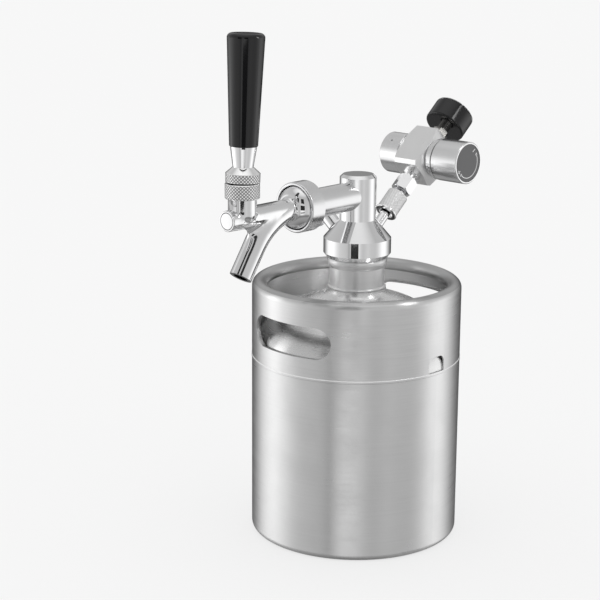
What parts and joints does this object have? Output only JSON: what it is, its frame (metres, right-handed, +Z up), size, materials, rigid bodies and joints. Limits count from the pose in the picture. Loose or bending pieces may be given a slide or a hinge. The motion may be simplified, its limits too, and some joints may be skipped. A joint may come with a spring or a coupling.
{
  "type": "mini keg beer dispenser",
  "caption": "Small steel keg with a screw-on tap head: a lever faucet with a bent spout, a clip-on gas regulator with knob and gauge, and a relief valve with a pull ring.",
  "frame": {"origin": "centre of the keg's flat base, on the table", "axes": "+Z up; -Y towards the faucet's spout; +Y towards the gas port; +X towards the regulator's knob"},
  "size_m": [0.1686, 0.2782, 0.4133],
  "materials": {
    "keg_steel": "brushed",
    "chrome": "polished",
    "satin_steel": "satin",
    "knurled_chrome": "knurled",
    "nickel_block": "satin",
    "brass": "machined",
    "rubber": "matte",
    "black_plastic": "gloss",
    "grey_plastic": "matte",
    "white_plastic": "satin",
    "black_paint": "gloss",
    "clear_lens": "clear",
    "spring_steel": "bright"
  },
  "bodies": {
    "keg": {"keg_lower_shell": "keg_steel", "keg_dome": "keg_steel", "top_chime": "keg_steel", "keg_neck": "keg_steel"},
    "neck_gasket": {"neck_seal": "rubber"},
    "tap_head": {"tap_cap": "chrome", "dip_tube_bush": "white_plastic", "dip_tube": "satin_steel", "tap_post": "chrome", "shank_tube": "satin_steel", "shank_washer": "rubber", "coupling_nut": "satin_steel", "faucet_body": "chrome", "friction_ring": "white_plastic", "bonnet": "knurled_chrome", "gas_post": "chrome", "relief_body": "chrome", "relief_gasket": "rubber", "relief_spring": "spring_steel"},
    "tap_lever": {"lever": "chrome", "lever_collar": "knurled_chrome", "handle_ferrule": "chrome", "tap_handle": "black_plastic"},
    "shaft": {"valve_shaft": "satin_steel", "valve_seal": "rubber", "shaft_nut": "satin_steel"},
    "relief_valve": {"relief_stem": "satin_steel", "relief_seal": "rubber"},
    "relief_ring": {"relief_pull_ring": "spring_steel"},
    "regulator": {"coupler_body": "chrome", "coupler_balls": "spring_steel", "coupler_oring": "rubber", "coupler_spring": "spring_steel", "regulator_block": "nickel_block", "regulator_bonnet": "chrome", "regulator_piston": "brass", "piston_oring": "rubber", "valve_poppet": "brass", "poppet_spring": "spring_steel", "adjusting_spring": "spring_steel", "cartridge_socket": "satin_steel", "piercing_pin": "satin_steel", "cartridge_seal": "rubber", "gauge_stem": "brass", "gauge_case": "black_paint", "gauge_movement": "brass", "gauge_dial": "white_plastic", "gauge_lens": "clear_lens"},
    "release_sleeve": {"coupler_sleeve": "knurled_chrome"},
    "knob": {"regulator_knob": "satin_steel", "knob_face_disc": "grey_plastic", "adjusting_screw": "satin_steel"},
    "pressure_nut": {"spring_nut": "brass"},
    "pointer": {"gauge_pointer": "black_paint"}
  },
  "joints": [
    {"name": "head_lift", "type": "slide", "parent": "keg", "child": "neck_gasket", "axis": [0, 0, 1], "range_m": [0, 0.25]},
    {"name": "head_turn", "type": "hinge", "parent": "neck_gasket", "child": "tap_head", "pos_m": [0, 0, 0.238], "axis": [0, 0, 1], "continuous": true},
    {"name": "lever_tilt", "type": "hinge", "parent": "tap_head", "child": "tap_lever", "pos_m": [0, -0.1297, 0.2927], "axis": [1, 0, 0], "range_deg": [0, 28]},
    {"name": "shaft_slide", "type": "slide", "parent": "tap_head", "child": "shaft", "axis": [0, 1, 0], "range_m": [0, 0.0076]},
    {"name": "relief_lift", "type": "slide", "parent": "tap_head", "child": "relief_valve", "axis": [-0.7638, 0, 0.6455], "range_m": [0, 0.003], "stiffness_N_per_m": 1200, "springref_m": -0.003, "deforming": ["relief_spring"]},
    {"name": "ring_swing", "type": "hinge", "parent": "relief_valve", "child": "relief_ring", "pos_m": [-0.04027, 0, 0.26255], "axis": [0, 1, 0], "range_deg": [0, 130]},
    {"name": "regulator_swivel", "type": "hinge", "parent": "tap_head", "child": "regulator", "pos_m": [0, 0.0227, 0.2477], "axis": [0, 0.7638, 0.6455], "continuous": true},
    {"name": "sleeve_slide", "type": "slide", "parent": "regulator", "child": "release_sleeve", "axis": [0, 0.7638, 0.6455], "range_m": [0, 0.0026], "stiffness_N_per_m": 500, "springref_m": -0.003, "deforming": ["coupler_spring"]},
    {"name": "knob_turn", "type": "hinge", "parent": "regulator", "child": "knob", "pos_m": [0.045, 0.08212, 0.29792], "axis": [-1, 0, 0], "range_deg": [0, 1080]},
    {"name": "nut_travel", "type": "slide", "parent": "regulator", "child": "pressure_nut", "axis": [-1, 0, 0], "range_m": [0, 0.0031], "deforming": ["adjusting_spring"]},
    {"name": "pointer_turn", "type": "hinge", "parent": "regulator", "child": "pointer", "pos_m": [0, 0.1197, 0.32968], "axis": [0, -0.7638, -0.6455], "range_deg": [0, 270], "stiffness_Nm_per_rad": 0.0002, "springref_deg": -28.65}
  ],
  "couplings": [
    {"joint": "shaft_slide", "follows": "lever_tilt", "m_per_rad": 0.01535},
    {"joint": "nut_travel", "follows": "knob_turn", "m_per_rad": 0.00015915}
  ]
}
